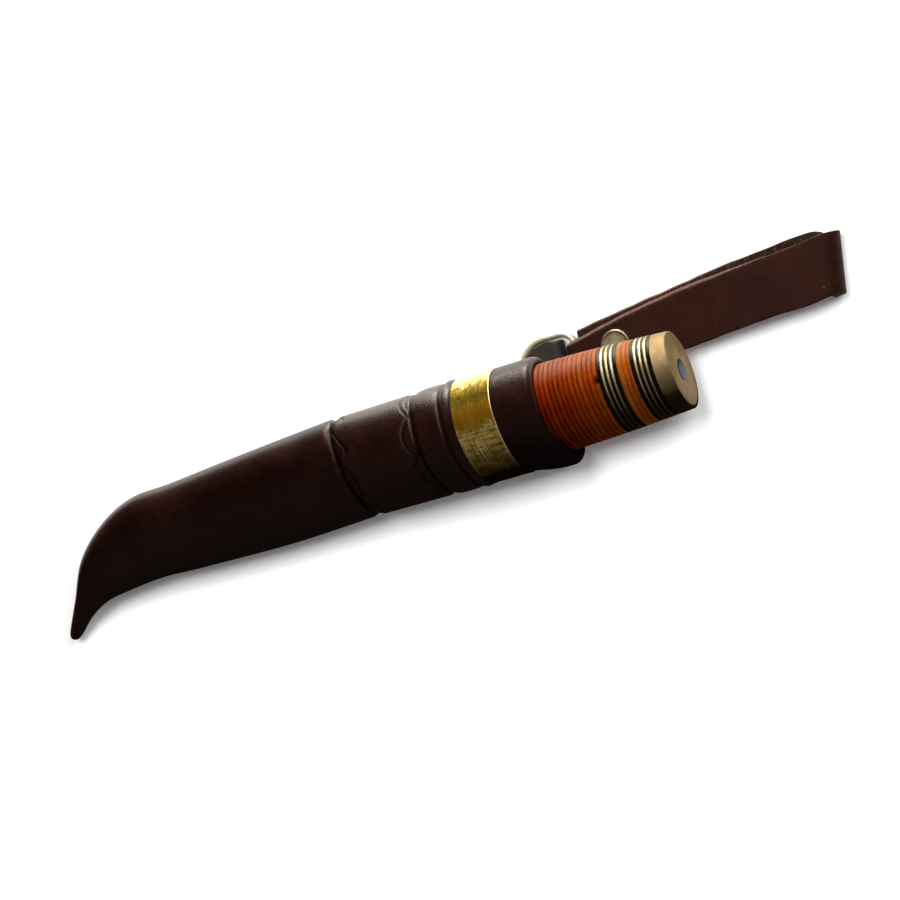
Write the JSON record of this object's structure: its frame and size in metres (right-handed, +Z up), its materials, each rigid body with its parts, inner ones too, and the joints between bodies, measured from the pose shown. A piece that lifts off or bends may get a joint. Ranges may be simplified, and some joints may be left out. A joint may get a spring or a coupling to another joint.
{
  "type": "sheathed belt knife",
  "caption": "Belt knife with a stacked birch bark and brass spacer handle, in a wet formed leather sheath with a brass band, hooked tip, hanging ring and riveted belt strap.",
  "frame": {"origin": "middle of the whole object on the table it lies on, knife in the sheath and strap laid flat", "axes": "+X along the knife from the hooked tip to the butt, +Y from the spine side to the edge side across the table, +Z up from the table"},
  "size_m": [0.2742, 0.0536, 0.0308],
  "materials": {
    "blade_steel": "satin ground carbon steel",
    "cast_brass": "hand filed and polished brass",
    "spacer_brass": "polished pale brass sheet",
    "band_brass": "hand rubbed brass sheet",
    "ring_brass": "worn nickelled brass wire",
    "rivet_brass": "stamped pale brass",
    "birch_bark": "waxed edges of pressed birch bark",
    "black_leather": "black dyed leather washers, sanded flush",
    "sheath_leather": "wet formed vegetable tanned leather, waxed",
    "strap_leather": "dyed strap leather, smooth grain side out",
    "liner_wood": "carved plain birch",
    "thread": "waxed linen thread"
  },
  "bodies": {
    "sheath": {"sheath_leather": "sheath_leather", "liner_front_half": "liner_wood", "liner_back_half": "liner_wood", "mouth_band": "band_brass", "back_seam_stitches": "thread", "ring_keeper": "strap_leather", "keeper_stitches": "thread"},
    "knife": {"blade": "blade_steel", "front_bolster": "cast_brass", "bark_grip_discs": "birch_bark", "black_spacer_1": "black_leather", "black_spacer_2": "black_leather", "black_spacer_3": "black_leather", "black_spacer_4": "black_leather", "black_spacer_5": "black_leather", "black_spacer_6": "black_leather", "black_spacer_7": "black_leather", "black_spacer_8": "black_leather", "brass_spacer_1": "spacer_brass", "brass_spacer_2": "spacer_brass", "brass_spacer_3": "spacer_brass", "brass_spacer_4": "spacer_brass", "brass_spacer_5": "spacer_brass", "brass_spacer_6": "spacer_brass", "bark_rear_discs": "birch_bark", "butt_cap": "cast_brass"},
    "ring": {"hanger_ring": "ring_brass"},
    "strap": {"belt_strap": "strap_leather", "rivet_cap": "rivet_brass", "rivet_post": "rivet_brass", "rivet_back_cap": "rivet_brass"}
  },
  "joints": [
    {"name": "knife_draw", "type": "slide", "parent": "sheath", "child": "knife", "axis": [1, 0, 0], "range_m": [0, 0.165]},
    {"name": "ring_slip", "type": "slide", "parent": "sheath", "child": "ring", "axis": [1, 0, 0], "range_m": [0, 0.0075]},
    {"name": "strap_swing", "type": "hinge", "parent": "ring", "child": "strap", "pos_m": [0.0553, 0.01191, 0.0026], "axis": [0, 1, 0], "range_deg": [0, 90]}
  ]
}
